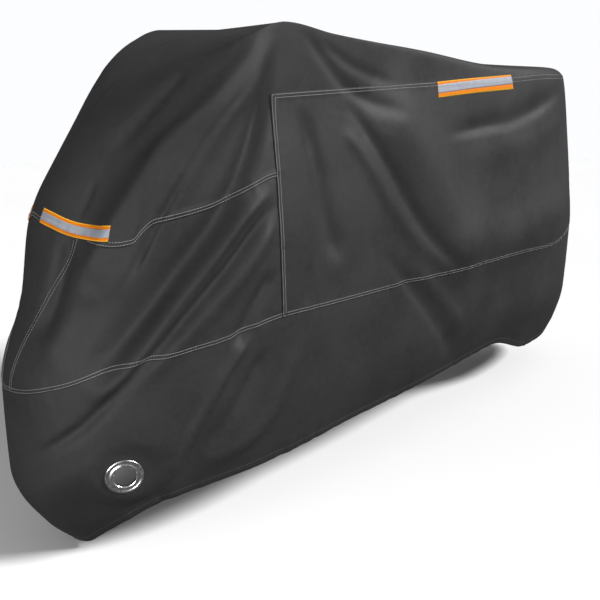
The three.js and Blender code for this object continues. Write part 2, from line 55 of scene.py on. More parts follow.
# The face is a net. A station runs from -1 at the centre of the nose, through 0 below the
# handlebar ends, to 1 at the centre of the tail. A level runs from 0, hem, to 1, ridge, and
# has its height at each of these stations, in millimetres.
STATIONS = (-1.0, -0.87, -0.70, -0.44, -0.20, 0.0, 0.10, 0.33, 0.60, 0.75, 1.0)
Level = namedtuple("Level", "at front_x fullness bar_x bar_half tail_half rear_x heights")
LEVELS = (
    Level(0.00, -0.930, 1.00, -0.535, 0.250, 0.130, 0.965,
          (0, 12, 62, 132, 156, 164, 168, 178, 194, 118, 94)),
    Level(0.06, -0.985, 1.00, -0.535, 0.263, 0.140, 1.010,
          (67, 80, 127, 192, 215, 222, 227, 240, 247, 184, 158)),
    Level(0.15, -1.043, 1.00, -0.535, 0.276, 0.150, 1.040,
          (197, 207, 242, 297, 322, 332, 336, 346, 342, 292, 262)),
    Level(0.30, -1.040, 1.08, -0.535, 0.282, 0.145, 1.045,
          (402, 406, 424, 472, 492, 517, 515, 509, 492, 472, 532)),
    Level(0.42, -0.982, 1.20, -0.535, 0.277, 0.140, 1.017,
          (577, 578, 584, 612, 637, 662, 662, 662, 652, 642, 662)),
    Level(0.54, -0.945, 1.10, -0.532, 0.262, 0.132, 0.980,
          (750, 736, 717, 742, 772, 817, 820, 822, 817, 812, 812)),
    Level(0.70, -0.862, 1.30, -0.525, 0.240, 0.102, 0.935,
          (877, 880, 887, 927, 962, 982, 987, 997, 1006, 1014, 1007)),
    Level(0.84, -0.765, 1.60, -0.484, 0.237, 0.060, 0.910,
          (987, 994, 1008, 1052, 1094, 1121, 1101, 1068, 1035, 1035, 1024)),
    Level(1.00, -0.620, 1.00, -0.470, 0.000, 0.000, 0.900,
          (1080, 1082, 1086, 1099, 1109, 1114, 1104, 1087, 1049, 1039, 1028)),
)
SKIRT_SEAM, HOOD_SEAM, SHOULDER_SEAM, RIDGE = 0.30, 0.54, 0.70, 1.0
HOOD_DIP = {"depth": 0.030, "start": -0.75, "deepest": -0.52, "release": -0.50, "end": -0.42}
GUSSET_LEVELS = (0.0, 0.15, 0.30, 0.54, 1.0)
GUSSET_STATIONS = (-0.80, -0.80, -0.955, -0.735, -0.72)
TAIL_ROUNDING = 10
TAIL_CROWDING = 6


def smoothstep(low, high, x):
    t = np.clip((x - low) / (high - low), 0, 1)
    return t * t * (3 - 2 * t)


def mix(a, b, t):
    return a + (b - a) * t


def run_along(points):
    """Lengths along a line of points, from its first."""
    return np.concatenate([[0], np.cumsum(np.linalg.norm(np.diff(points, axis=0), axis=1))])


def cubic(places, values, where):
    """A curve through the values, given along the last axis, that never overshoots them."""
    places, values, where = (np.asarray(a, float) for a in (places, values, where))
    steps = np.diff(places)
    rises = np.diff(values, axis=-1) / steps
    before, after = rises[..., :-1], rises[..., 1:]
    weight_before, weight_after = 2 * steps[1:] + steps[:-1], steps[1:] + 2 * steps[:-1]
    with np.errstate(divide="ignore", invalid="ignore"):
        middle = (weight_before + weight_after) / (weight_before / before + weight_after / after)
    middle = np.where(before * after > 0, middle, 0)
    slopes = np.concatenate([rises[..., :1], middle, rises[..., -1:]], -1)
    k = np.clip(np.searchsorted(places, where, side="right") - 1, 0, len(places) - 2)
    t = (where - places[k]) / steps[k]

    def pick(table, at):
        table = np.broadcast_to(table, where.shape + table.shape[-1:])
        return np.take_along_axis(table, at[..., None], -1)[..., 0]

    return ((1 + 2 * t) * (1 - t) ** 2 * pick(values, k)
            + t * (1 - t) ** 2 * steps[k] * pick(slopes, k)
            + t * t * (3 - 2 * t) * pick(values, k + 1)
            + t * t * (t - 1) * steps[k] * pick(slopes, k + 1))


def level_line(row, station):
    """Points of one level, for Y above 0."""
    z = cubic(STATIONS, np.array(row.heights) / 1000, station)
    if row.at == HOOD_SEAM:
        dip = smoothstep(HOOD_DIP["start"], HOOD_DIP["deepest"], station)
        dip = dip * (1 - smoothstep(HOOD_DIP["release"], HOOD_DIP["end"], station))
        z = z - HOOD_DIP["depth"] * dip
    turn = (1 + np.minimum(station, 0)) * pi / 2
    front_x = row.bar_x - (row.bar_x - row.front_x) * np.cos(turn)
    front_half = row.bar_half * np.sin(turn) ** row.fullness
    along = np.maximum(station, 0)
    along = along + along ** TAIL_CROWDING * (1 - along)
    rear_x = mix(row.bar_x, row.rear_x, along)
    rear_half = mix(row.bar_half, row.tail_half, along ** 2)
    rear_half = rear_half * np.sqrt(np.maximum(1 - along ** TAIL_ROUNDING, 0))
    front = station < 0
    return np.stack([np.where(front, front_x, rear_x), np.where(front, front_half, rear_half), z], -1)


def face_at_station(side, station, level):
    """Points of the smooth face. Past the centre lines it runs on over the other side."""
    side, station, level = np.broadcast_arrays(side, station, level)
    across = (np.abs(station) > 1) ^ (level > 1)
    station = np.where(np.abs(station) > 1, 2 * np.sign(station) - station, station)
    level = np.where(level > 1, 2 - level, level)
    lines = np.stack([level_line(row, station) for row in LEVELS], -1)
    heights = np.broadcast_to(level[..., None], lines.shape[:-1])
    point = cubic([row.at for row in LEVELS], lines, heights)
    point[..., 1] *= np.where(across, -side, side)
    return point


# Along the net, places are told by the way from the nose in metres, at the height below.
WAY_LEVEL = 0.42
LAST_STRETCH = 0.05           # before the centre of the tail the stations lie closer
WAY_STATIONS = np.concatenate([np.linspace(-1, 1 - LAST_STRETCH, 1200),
                               1 - LAST_STRETCH * np.linspace(1, 0, 300)[1:] ** 2])
WAYS = run_along(face_at_station(LEFT, WAY_STATIONS, WAY_LEVEL))
WAY_END = WAYS[-1]


def way_of(station):
    return np.interp(station, WAY_STATIONS, WAYS)


def station_of(way):
    """Stations, running on past -1 and 1 where the way does."""
    inside = np.interp(np.where(way > WAY_END, 2 * WAY_END - way, np.abs(way)), WAYS, WAY_STATIONS)
    return np.where(way < 0, -2 - inside, np.where(way > WAY_END, 2 - inside, inside))


def face(side, way, level):
    return face_at_station(side, station_of(np.asarray(way, float)), np.asarray(level, float))


WAY_STEP, LEVEL_STEP = 3 * MM, 0.003
IN_MIDDLE = 0.001 * MM        # nearer to the middle plane than this, a point lies in it


def face_slopes(side, way, level):
    """How the smooth face moves for each metre of way, and for a whole level."""
    along = (face(side, way + WAY_STEP, level) - face(side, way - WAY_STEP, level)) / (2 * WAY_STEP)
    low, high = np.maximum(level - LEVEL_STEP, 0), level + LEVEL_STEP
    up = (face(side, way, high) - face(side, way, low)) / (high - low)[..., None]
    return along, up


def face_normals(side, way, level):
    """Normals of the smooth face, which lie in the middle plane where the face crosses it."""
    along, up = face_slopes(side, np.clip(way, WAY_STEP, WAY_END - WAY_STEP), level)
    normal = np.cross(along, up) * -np.asarray(side, float)[..., None]
    middle = np.abs(face(side, way, level)[..., 1]) < IN_MIDDLE
    normal[..., 1] = np.where(middle, 0, normal[..., 1])
    return normal / np.linalg.norm(normal, axis=-1, keepdims=True)


def gusset_way(level):
    return way_of(cubic(GUSSET_LEVELS, GUSSET_STATIONS, level))


# Folds

# A fold is a soft ridge (depth over 0) or trough (under 0) along a line of places on the
# net, (station, level), told in thousandths. Its widths at both ends and its depth are in
# millimetres. Lean makes it steeper on one side: over 0 on the right of its run, seen from
# outside.
Fold = namedtuple("Fold", "side path widths depth lean", defaults=(0,))
LEFT_FOLDS = (
    # a broad band from the handlebar end down and forwards over the hood, creased along its
    # middle, between a shallow trough above and a deep one below
    (((-40, 820), (-260, 715), (-430, 655), (-575, 585), (-635, 500), (-710, 400)), (22, 46), 24, 0.35),
    (((-30, 790), (-150, 700), (-330, 610), (-480, 500), (-620, 360)), (18, 36), 12),
    (((-40, 770), (-220, 677), (-350, 593), (-440, 517), (-580, 380)), (7, 10), -4),
    (((-330, 610), (-370, 575), (-415, 540), (-450, 505), (-500, 460)), (7, 8), -6, -0.3),
    (((-200, 860), (-440, 760), (-640, 660), (-760, 530)), (40, 60), -10),
    (((0, 800), (-60, 655), (-167, 550), (-350, 440), (-500, 335), (-620, 300)), (14, 36), -24),
    # tight creases from the bar seam over the skirt's seam to the nose
    (((0, 520), (-140, 497), (-315, 400), (-470, 288), (-600, 255)), (14, 24), 15, -0.2),
    (((10, 505), (-110, 463), (-267, 383), (-397, 307), (-605, 225), (-900, 186)), (9, 14), -12, 0.2),
    (((0, 485), (-110, 420), (-287, 338), (-460, 250)), (17, 28), 11),
    (((-20, 395), (-100, 335), (-155, 275)), (13, 18), -10),
    # low on the front
    (((-100, 295), (-185, 235), (-295, 128), (-450, 25)), (10, 16), 8, -0.2),
    (((-50, 260), (-140, 170), (-260, 75)), (14, 24), -9),
    (((30, 240), (-10, 150), (-100, 90), (-300, 58)), (19, 24), 7),
    (((-745, 550), (-758, 455), (-810, 360)), (14, 22), -12),
    (((-620, 470), (-690, 400), (-760, 330)), (28, 34), 8),
    (((-420, 810), (-520, 750), (-680, 690)), (13, 20), -6),
    (((-700, 640), (-735, 570)), (7, 8), -4),
    # from the handlebar end down and backwards over the side
    (((30, 810), (95, 758), (145, 705), (210, 655), (300, 620)), (10, 20), -5.5),
    (((70, 800), (155, 750), (270, 700)), (9, 14), -3.5),
    (((200, 720), (300, 550), (380, 420), (480, 300)), (85, 100), 22),
    (((55, 680), (75, 550), (90, 450), (120, 370)), (20, 28), -10),
    (((135, 690), (193, 585), (252, 485), (325, 380), (430, 270)), (13, 22), -8, 0.2),
    (((130, 620), (170, 560), (235, 455), (320, 340)), (14, 20), 5),
    (((52, 390), (45, 310)), (8, 8), -4),
    # under the tail, and low on the side
    (((370, 575), (522, 585), (630, 593), (860, 645)), (17, 28), -9, 0.3),
    (((420, 530), (620, 540), (860, 590)), (38, 42), 4),
    (((280, 340), (550, 350), (880, 390)), (75, 85), 16),
    (((200, 390), (300, 253), (370, 150), (440, 50)), (17, 30), -7, 0.2),
    (((270, 350), (360, 240), (450, 120)), (20, 26), 5),
    (((20, 0), (300, 0), (620, 0), (950, 30)), (90, 105), -12),
)
# The right side hangs much the same, and never quite alike.
RIGHT_FOLDS = (
    (((-20, 810), (-210, 710), (-430, 600), (-660, 550)), (17, 36), 12, 0.2),
    (((-40, 770), (-240, 660), (-420, 520), (-520, 410)), (7, 11), -6),
    (((-10, 790), (-120, 640), (-310, 530), (-520, 380)), (14, 30), -14),
    (((-30, 600), (-230, 500), (-400, 360)), (20, 30), 9),
    (((0, 530), (-140, 440), (-360, 320), (-720, 210)), (10, 14), -11, 0.2),
    (((-50, 420), (-220, 330), (-420, 260)), (17, 24), 7),
    (((-80, 290), (-160, 210), (-240, 120), (-370, 20)), (10, 14), 8),
    (((-740, 540), (-770, 440), (-820, 350)), (16, 20), -7),
    (((30, 810), (130, 740), (270, 670)), (9, 16), -9),
    (((50, 670), (100, 550), (130, 420)), (18, 26), -9),
    (((110, 680), (200, 520), (310, 370)), (13, 19), -8, 0.2),
    (((90, 600), (190, 460), (340, 340)), (24, 32), 7),
    (((460, 610), (640, 580), (900, 620)), (17, 22), -13, 0.2),
    (((460, 440), (550, 420), (640, 430)), (80, 80), 9),
    (((240, 360), (360, 200), (480, 50)), (14, 20), -11, 0.2),
    (((-440, 800), (-550, 740), (-720, 680)), (14, 20), -5),
)
FOLDS = [Fold(side, *row) for side, rows in zip(BOTH, (LEFT_FOLDS, RIGHT_FOLDS)) for row in rows]
FOLD_STEPS = 16
FOLD_END = 0.22               # share of its length over which a fold fades out
FOLD_REACH = 3.2              # in widths


def fold_line(fold):
    places = np.array(fold.path) / 1000
    at = np.linspace(0, len(places) - 1, FOLD_STEPS + 1)
    padded = np.vstack([2 * places[0] - places[1], places, 2 * places[-1] - places[-2]])
    k = np.minimum(at.astype(int), len(places) - 2)
    t = (at - k)[:, None]
    a, b, c, d = (padded[k + n] for n in range(4))
    bent = 0.5 * (2 * b + (c - a) * t + (2 * a - 5 * b + 4 * c - d) * t ** 2
                  + (3 * b - a - 3 * c + d) * t ** 3)
    way, level = way_of(bent[:, 0]), bent[:, 1]
    return face(fold.side, way, level), face_normals(fold.side, way, level)


FOLD_LINES = [fold_line(fold) for fold in FOLDS]


def fold_heights(points):
    """How far the folds push points of the smooth face out along its normal."""
    heights = np.zeros(len(points))
    for fold, (line, normals) in zip(FOLDS, FOLD_LINES):
        reach = FOLD_REACH * max(fold.widths) * MM
        inside = np.all((points > line.min(0) - reach) & (points < line.max(0) + reach), axis=1)
        near = points[inside]
        best = np.full(len(near), np.inf)
        place = np.zeros(len(near))
        beside = np.zeros(len(near))
        for k in range(FOLD_STEPS):
            run = line[k + 1] - line[k]
            t = np.clip((near - line[k]) @ run / (run @ run), 0, 1)
            offset = near - line[k] - t[:, None] * run
            distance = np.linalg.norm(offset, axis=1)
            closer = distance < best
            best = np.where(closer, distance, best)
            place = np.where(closer, (k + t) / FOLD_STEPS, place)
            right = np.cross(run, normals[k])
            beside = np.where(closer, np.sign(offset @ right), beside)
        width = mix(fold.widths[0], fold.widths[1], place) * MM * (1 - fold.lean * beside)
        fade = smoothstep(0, FOLD_END, place) * smoothstep(0, FOLD_END, 1 - place)
        heights[inside] += fold.depth * MM * fade * np.exp(-(best / width) ** 2)
    return heights


# Seams

# Each seam runs along a level or a station. Rows of stitches lie on the panel that laps
# over: up the net (level over 0), down it, or along it (way over 0) from the seam.
Seam = namedtuple("Seam", "sides places rows pucker reach wavelength")


def along_level(level, start, end):
    return lambda t: (mix(way_of(start), way_of(end), t), np.full_like(t, level))


def along_station(station, start, end):
    return lambda t: (np.full_like(t, way_of(station)), mix(start, end, t))


def along_gusset(t):
    level = mix(SKIRT_SEAM, HOOD_SEAM, t)
    return gusset_way(level), level


SEAMS = {
    "hood_edge": Seam(BOTH, along_level(HOOD_SEAM, -1, 0), (0, 1), 1.0, 20, 31),
    "gusset_edge": Seam(BOTH, along_gusset, (1, 0), 0.7, 18, 27),
    "skirt_edge": Seam(BOTH, along_level(SKIRT_SEAM, -1, 1), (0, 1), 1.1, 22, 36),
    "bar_edge": Seam(BOTH, along_station(0, SKIRT_SEAM, SHOULDER_SEAM), (1, 0), 0.9, 20, 29),
    "shoulder_edge": Seam(BOTH, along_level(SHOULDER_SEAM, 0, 1), (0, -1), 0.9, 20, 33),
    "back_edge": Seam((LEFT,), along_station(1, SKIRT_SEAM, SHOULDER_SEAM), (-1, 0), 0.7, 20, 30),
    "hem": Seam(BOTH, along_level(0, -1, 1), (0, 1), 1.6, 46, 58),
}
SEAM_SAMPLE = 3 * MM


def seam_finder(seam):
    """A search tree of points along a seam, the points, and each one's run along its side."""
    points, runs = [], []
    for side in seam.sides:
        t = np.linspace(0, 1, 900)
        run = run_along(face(side, *seam.places(t)))
        even = np.interp(np.arange(0, run[-1], SEAM_SAMPLE), run, t)
        points.append(face(side, *seam.places(even)))
        runs.append(np.arange(len(even)) * SEAM_SAMPLE * side)
    points = np.concatenate(points)
    tree = KDTree(len(points))
    for index, point in enumerate(points):
        tree.insert(point, index)
    tree.balance()
    return tree, points, np.concatenate(runs)


FINDERS = {name: seam_finder(seam) for name, seam in SEAMS.items()}


def seam_distances(name, points, within):
    """Distance of each point from a seam and the run along it, for points that are near."""
    tree, samples, runs = FINDERS[name]
    box = np.all((points > samples.min(0) - within) & (points < samples.max(0) + within), axis=1)
    distance = np.full(len(points), np.inf)
    run = np.zeros(len(points))
    for index in np.flatnonzero(box):
        _, nearest, gap = tree.find(points[index])
        distance[index], run[index] = gap, runs[nearest]
    return distance, run


def wobble(run, wavelength, seed):
    """Uneven waves along a seam, between about -1 and 1."""
    phases = np.random.default_rng(seed).uniform(0, 2 * pi, 5)
    shares = ((1.0, 0.45), (0.63, 0.3), (1.7, 0.35), (0.41, 0.15))
    wave = sum(share * np.sin(2 * pi * run / (wavelength * scale) + phase)
               for (scale, share), phase in zip(shares, phases))
    swell = 0.6 + 0.4 * np.sin(2 * pi * run / (wavelength * 6.3) + phases[4])
    return wave * swell


def seam_heights(points, laps):
    """Puckers along the seams, a soft valley on each, and the laps' doubled edges. laps: how
    many layers high the cloth lies along each seam where it laps over its neighbours."""
    heights = np.zeros(len(points))
    lap = np.zeros(len(points))
    for seed, (name, seam) in enumerate(SEAMS.items()):
        reach = seam.reach * MM
        distance, run = seam_distances(name, points, 3 * reach)
        near = np.isfinite(distance)
        d, r = distance[near], run[near]
        waves = wobble(r, seam.wavelength * MM, seed)
        heights[near] += seam.pucker * MM * waves * np.exp(-(d / reach) ** 2)
        heights[near] -= 0.5 * seam.pucker * MM * np.exp(-(d / reach * 1.6) ** 2)
        if name in laps:
            doubled = 1 - smoothstep(LAP_WIDTH - LAP_END, LAP_WIDTH, d)
            lap[near] = np.maximum(lap[near], laps[name] * doubled)
    return heights + LAYER * lap


# The cloth round the eyelets

EYELET = {"station": -0.515, "level": 0.10, "rise": -0.10, "cloth_hole": 28 * MM,
          "flat": (46 * MM, 95 * MM), "unfolded": (55 * MM, 110 * MM)}


def eyelet_frame(side):
    way, level = np.array(way_of(EYELET["station"])), np.array(EYELET["level"])
    centre, normal = face(side, way, level), face_normals(side, way, level)
    normal[2] = EYELET["rise"]
    normal /= np.linalg.norm(normal)
    across = np.cross((0, 0, 1), normal)
    across /= np.linalg.norm(across)
    return centre, normal, across, np.cross(normal, across)


EYELET_FRAMES = {side: eyelet_frame(side) for side in BOTH}


def dressed(points, normals, laps):
    """Places of the cloth's outer face: folds and seams added, and flat at the eyelets."""
    shape = points.shape
    points, normals = points.reshape(-1, 3), normals.reshape(-1, 3)
    heights = fold_heights(points)
    for centre, _, _, _ in EYELET_FRAMES.values():
        away = np.linalg.norm(points - centre, axis=1)
        heights = heights * smoothstep(*EYELET["unfolded"], away)
    cloth = points + normals * (heights + seam_heights(points, laps))[:, None]
    for centre, normal, _, _ in EYELET_FRAMES.values():
        height = (cloth - centre) @ normal
        away = np.linalg.norm(cloth - centre - height[:, None] * normal, axis=1)
        flat = (1 - smoothstep(*EYELET["flat"], away)) * (np.abs(height) < EYELET["flat"][1])
        cloth = cloth - (height * flat)[:, None] * normal
    return cloth.reshape(shape)


# The net of the panels

# Lines of the net beside each seam, in millimetres from it, and cells in between. They
# reach further over the panel that laps over the other.
LAP_BEYOND = (-8, -5, -2, 0, 2, 5, 8, 11, 14)
LAP_BEFORE = tuple(-place for place in reversed(LAP_BEYOND))
COLUMN_SEAMS = ("nose", "gusset", "bars", "tail")
COLUMN_LINES = ((0,), LAP_BEYOND, LAP_BEYOND, LAP_BEFORE)
COLUMN_CELLS = (12, 90, 165)
COLUMN_CROWDING = (0, 0, 0.45)   # how much closer the lines lie where the cells start
ROW_SEAMS = ("hem", "skirt", "hood", "shoulder", "ridge")
ROW_LEVELS = (0.0, SKIRT_SEAM, HOOD_SEAM, SHOULDER_SEAM, RIDGE)
ROW_LINES = ((0, 4, 9, 14, 18, 22), LAP_BEYOND, LAP_BEYOND, LAP_BEFORE, (0,))
ROW_CELLS = (57, 40, 22, 38)
BELOW_RIDGE = 0.99            # the highest level at which the net's rows are measured


def net_lines(seams, per_metre, beside, cells, crowding=(0, 0, 0, 0)):
    """Places of the net's lines: beside each seam as given, and in even steps in between."""
    lines = []
    for k, seam in enumerate(seams):
        lines += [seam + offset * MM * per_metre[k] for offset in beside[k]]
        if k < len(cells):
            start = lines[-1]
            end = seams[k + 1] + beside[k + 1][0] * MM * per_metre[k + 1]
            steps = np.arange(1, cells[k]) / cells[k]
            steps = steps * (1 - crowding[k] * (1 - steps))
            lines += [mix(start, end, step) for step in steps]
    return np.stack(lines)


def line_numbers(names, beside, cells):
    """The number of the line that lies on each seam."""
    numbers, count = {}, 0
    for k, name in enumerate(names):
        numbers[name] = count + beside[k].index(0)
        count += len(beside[k]) + (cells[k] - 1 if k < len(cells) else 0)
    return numbers


COLUMN = line_numbers(COLUMN_SEAMS, COLUMN_LINES, COLUMN_CELLS)
ROW = line_numbers(ROW_SEAMS, ROW_LINES, ROW_CELLS)


def column_ways(level):
    seams = (np.zeros_like(level), gusset_way(level), np.full_like(level, way_of(0.0)),
             np.full_like(level, WAY_END))
    return net_lines(seams, (1, 1, 1, 1), COLUMN_LINES, COLUMN_CELLS, COLUMN_CROWDING)


def cloth_net():
    """Way and level of every point of the net, as columns by rows."""
    rough = net_lines(np.array(ROW_LEVELS), np.ones(len(ROW_LEVELS)), ROW_LINES, ROW_CELLS)
    middle = column_ways(rough)[:, len(rough) // 2]
    seams = [np.full(len(middle), level) for level in ROW_LEVELS]
    rises = [1 / np.linalg.norm(face_slopes(LEFT, middle, np.minimum(level, BELOW_RIDGE))[1], axis=1)
             for level in seams]
    levels = net_lines(seams, rises, ROW_LINES, ROW_CELLS).T
    ways = np.stack([column_ways(row)[k] for k, row in enumerate(levels)])
    return ways, levels


NET_WAYS, NET_LEVELS = cloth_net()


# Cloth panels

def add_object(name, data):
    made = bpy.data.objects.new(name, data)
    bpy.context.scene.collection.objects.link(made)
    return made


def mesh_object(bm, name, material):
    mesh = bpy.data.meshes.new(name)
    bm.to_mesh(mesh)
    bm.free()
    mesh.materials.append(material)
    return add_object(name, mesh)


def finish_piece(bm, name, material, node=None):
    """A finished piece at the origin, riding with the cover."""
    piece = mesh_object(bm, name, material)
    piece.data.polygons.foreach_set("use_smooth", [True] * len(piece.data.polygons))
    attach(piece, "root")
    if node:
        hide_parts(node)
    return piece


def thicken(piece, thickness):
    """Gives a sheet its thickness, inwards from its face."""
    wall = piece.modifiers.new("thickness", "SOLIDIFY")
    wall.thickness = thickness
    wall.offset = -1


def matrix_of(*columns):
    """A matrix of three axes and a place."""
    matrix = Matrix.Identity(4)
    for number, column in enumerate(columns):
        matrix.col[number][0:3] = column
    return matrix


def grid_of(bm, places, across, up):
    """A grid of faces through the places, columns by rows, with its UV map in metres."""
    wide, tall = places.shape[0] - 1, places.shape[1] - 1
    verts = bmesh.ops.create_grid(bm, x_segments=wide, y_segments=tall, size=1)["verts"]
    uv = bm.loops.layers.uv.verify()
    number = {}
    for index, vert in enumerate(verts):
        row, column = divmod(index, wide + 1)
        vert.co = places[column, row]
        number[vert] = (column, row)
    faces = list({f for vert in verts for f in vert.link_faces})
    for f in faces:
        for loop in f.loops:
            place = number[loop.vert]
            loop[uv].uv = (across[place], up[place])
    return faces


LEVEL_LENGTH = 1.25           # metres of cloth for a whole level, for the weave's map


def cloth_block(bm, side, columns, rows, laps):
    """Lays a grid of cloth on a block of the net."""
    block = (slice(columns[0], columns[1] + 1), slice(rows[0], rows[1] + 1))
    way, level = NET_WAYS[block], NET_LEVELS[block]
    cloth = dressed(face(side, way, level), face_normals(side, way, level), laps)
    faces = grid_of(bm, cloth, way * side, level * LEVEL_LENGTH)
    if side == RIGHT:
        bmesh.ops.reverse_faces(bm, faces=faces)


def open_eyelet_holes(bm):
    """Cuts the cloth away inside each eyelet, and rounds what is left to a circle."""
    for centre, normal, _, _ in EYELET_FRAMES.values():
        inside = []
        for f in bm.faces:
            offset = np.array(f.calc_center_median()) - centre
            height = offset @ normal
            if max(np.linalg.norm(offset - height * normal), abs(height)) < EYELET["cloth_hole"]:
                inside.append(f)
        rim = {v for f in inside for v in f.verts}
        bmesh.ops.delete(bm, geom=inside, context="FACES")
        for vert in rim:
            if vert.is_valid:
                offset = np.array(vert.co) - centre
                offset = offset - (offset @ normal) * normal
                vert.co = centre + offset / np.linalg.norm(offset) * EYELET["cloth_hole"]


# Finishes

def shader_group(name, numbers, outputs):
    """A node group on a vector and named numbers, and the sockets inside it."""
    group = bpy.data.node_groups.new(name, "ShaderNodeTree")
    add = group.interface.new_socket
    add("Vector", in_out="INPUT", socket_type="NodeSocketVector")
    for label, value in numbers.items():
        add(label, in_out="INPUT", socket_type="NodeSocketFloat").default_value = value
    for label in outputs:
        add(label, in_out="OUTPUT", socket_type="NodeSocketFloat")
    return group, group.nodes.new("NodeGroupInput").outputs, group.nodes.new("NodeGroupOutput").inputs


def connect(tree, socket, value):
    if isinstance(value, bpy.types.NodeSocket):
        tree.links.new(value, socket)
    else:
        socket.default_value = value


def shader_node(tree, kind, inputs=None, **settings):
    made = tree.nodes.new("ShaderNode" + kind)
    for name, value in settings.items():
        setattr(made, name, value)
    for name, value in (inputs or {}).items():
        connect(tree, made.inputs[name], value)
    return made


def maths(tree, operation, *values):
    made = shader_node(tree, "Math", operation=operation)
    for socket, value in zip(made.inputs, values):
        connect(tree, socket, value)
    return made.outputs[0]


def between(tree, low, high, value, start=0.0, end=1.0):
    """The value's run from low to high, as a soft step from start to end."""
    made = shader_node(tree, "MapRange", {"Value": value, "From Min": low, "From Max": high,
                                          "To Min": start, "To Max": end},
                       interpolation_type="SMOOTHSTEP")
    return made.outputs["Result"]


def blend_colours(tree, share, first, second):
    made = shader_node(tree, "Mix", data_type="RGBA")
    for socket, value in ((0, share), (6, first), (7, second)):
        connect(tree, made.inputs[socket], value)
    return made.outputs[2]


def times(tree, first, second):
    return maths(tree, "MULTIPLY", first, second)


def noise(tree, vector, scale, **settings):
    return shader_node(tree, "TexNoise", {"Vector": vector, "Scale": scale, **settings}).outputs[0]


def make_weave():
    """Threads that pass over and under each other."""
    group, given, result = shader_group("plain weave", {"Pitch": 0.9 * MM}, ("Height", "Hollow"))
    place = shader_node(group, "SeparateXYZ", {"Vector": given["Vector"]}).outputs
    threads = (maths(group, "DIVIDE", place[axis], given["Pitch"]) for axis in "XY")
    warp, weft = (maths(group, "SINE", times(group, count, pi)) for count in threads)
    over = maths(group, "GREATER_THAN", times(group, warp, weft), 0.0)
    warp, weft = maths(group, "ABSOLUTE", warp), maths(group, "ABSOLUTE", weft)
    height = maths(group, "ADD", warp, times(group, over, maths(group, "SUBTRACT", weft, warp)))
    group.links.new(height, result["Height"])
    group.links.new(between(group, 0.5, 0.0, maths(group, "MAXIMUM", warp, weft)), result["Hollow"])
    return group


def make_creases():
    """Small soft creases of handled cloth, broad ones and sharper ones within."""
    group, given, result = shader_group("small creases", {"Scale": 10.0, "Sharp": 0.5}, ("Height",))
    broad = noise(group, given["Vector"], given["Scale"], Detail=2.0, Roughness=0.45)
    finer = times(group, given["Scale"], 2.7)
    sharp = noise(group, given["Vector"], finer, Detail=1.5, Roughness=0.4, Distortion=0.6)
    ridge = maths(group, "ABSOLUTE", maths(group, "SUBTRACT", sharp, 0.5))
    ridge = times(group, maths(group, "SUBTRACT", 0.25, ridge), given["Sharp"])
    group.links.new(maths(group, "ADD", broad, ridge), result["Height"])
    return group


def make_tone():
    """A slow, uneven mask for dye, dust and handling."""
    group, given, result = shader_group("uneven tone", {"Scale": 4.0}, ("Tone",))
    slow = noise(group, given["Vector"], given["Scale"], Detail=5.0, Roughness=0.6)
    group.links.new(between(group, 0.3, 0.7, slow), result["Tone"])
    return group


def make_honeycomb():
    """Six-sided cells, as in a retroreflective film."""
    group, given, result = shader_group("honeycomb", {"Cell": 3 * MM}, ("Rim",))
    waves = []
    for k in range(3):
        turn = k * 2 * pi / 3
        dot = shader_node(group, "VectorMath", operation="DOT_PRODUCT")
        connect(group, dot.inputs[0], given["Vector"])
        dot.inputs[1].default_value = (cos(turn), sin(turn), 0)
        cells = maths(group, "DIVIDE", dot.outputs["Value"], given["Cell"])
        waves.append(maths(group, "COSINE", times(group, cells, 4 * pi / sqrt(3))))
    total = maths(group, "ADD", maths(group, "ADD", waves[0], waves[1]), waves[2])
    group.links.new(between(group, -0.7, -1.3, total), result["Rim"])
    return group


WEAVE, CREASES, TONE, HONEYCOMB = make_weave(), make_creases(), make_tone(), make_honeycomb()


def use_group(tree, group, vector, **numbers):
    return shader_node(tree, "Group", {"Vector": vector, **numbers}, node_tree=group).outputs


def tone_at(tree, places, scale):
    return use_group(tree, TONE, places["Object"], Scale=scale)["Tone"]


def bump(tree, height, distance, below=None):
    made = shader_node(tree, "Bump", {"Height": height, "Distance": distance, "Strength": 1.0})
    if below is not None:
        tree.links.new(below, made.inputs["Normal"])
    return made.outputs["Normal"]


def new_material(name, **constants):
    """A material with its shader's even values set, and its coordinates."""
    material = bpy.data.materials.new(name)
    material.use_nodes = True
    tree = material.node_tree
    shader = tree.nodes["Principled BSDF"]
    for label, value in constants.items():
        shader.inputs[label.replace("_", " ")].default_value = value
    places = shader_node(tree, "TexCoord").outputs
    return material, tree, shader.inputs, places


def vary(tree, shader, colour, roughness=None, normal=None):
    """Links what isn't even over a material to its shader."""
    for label, source in (("Base Color", colour), ("Roughness", roughness), ("Normal", normal)):
        if source is not None:
            tree.links.new(source, shader[label])


def coated_cloth():
    """Charcoal woven polyester with a thin matt coating."""
    material, tree, shader, places = new_material("charcoal coated cloth", Specular_IOR_Level=0.2)
    weave = use_group(tree, WEAVE, places["UV"], Pitch=0.9 * MM)
    tone = tone_at(tree, places, 5.0)
    grain = tone_at(tree, places, 90.0)
    creases = use_group(tree, CREASES, places["Object"], Scale=7.0, Sharp=0.35)["Height"]
    dye_and_hollow_shade = blend_colours(tree, tone, (0.0215, 0.0215, 0.022, 1), (0.0275, 0.0275, 0.028, 1))
    dye_and_hollow_shade = blend_colours(tree, times(tree, grain, 0.22), dye_and_hollow_shade, (0.044, 0.044, 0.044, 1))
    # the weave's hollows between threads are painted darker: painted shade in the gaps of the weave
    dye_and_hollow_shade = blend_colours(tree, times(tree, weave["Hollow"], 0.5), dye_and_hollow_shade, (0.012, 0.012, 0.013, 1))
    soft = bump(tree, creases, 3 * MM)
    vary(tree, shader, dye_and_hollow_shade, between(tree, 0, 1, tone, 0.50, 0.60),
         bump(tree, weave["Height"], 0.07 * MM, soft))
    return material


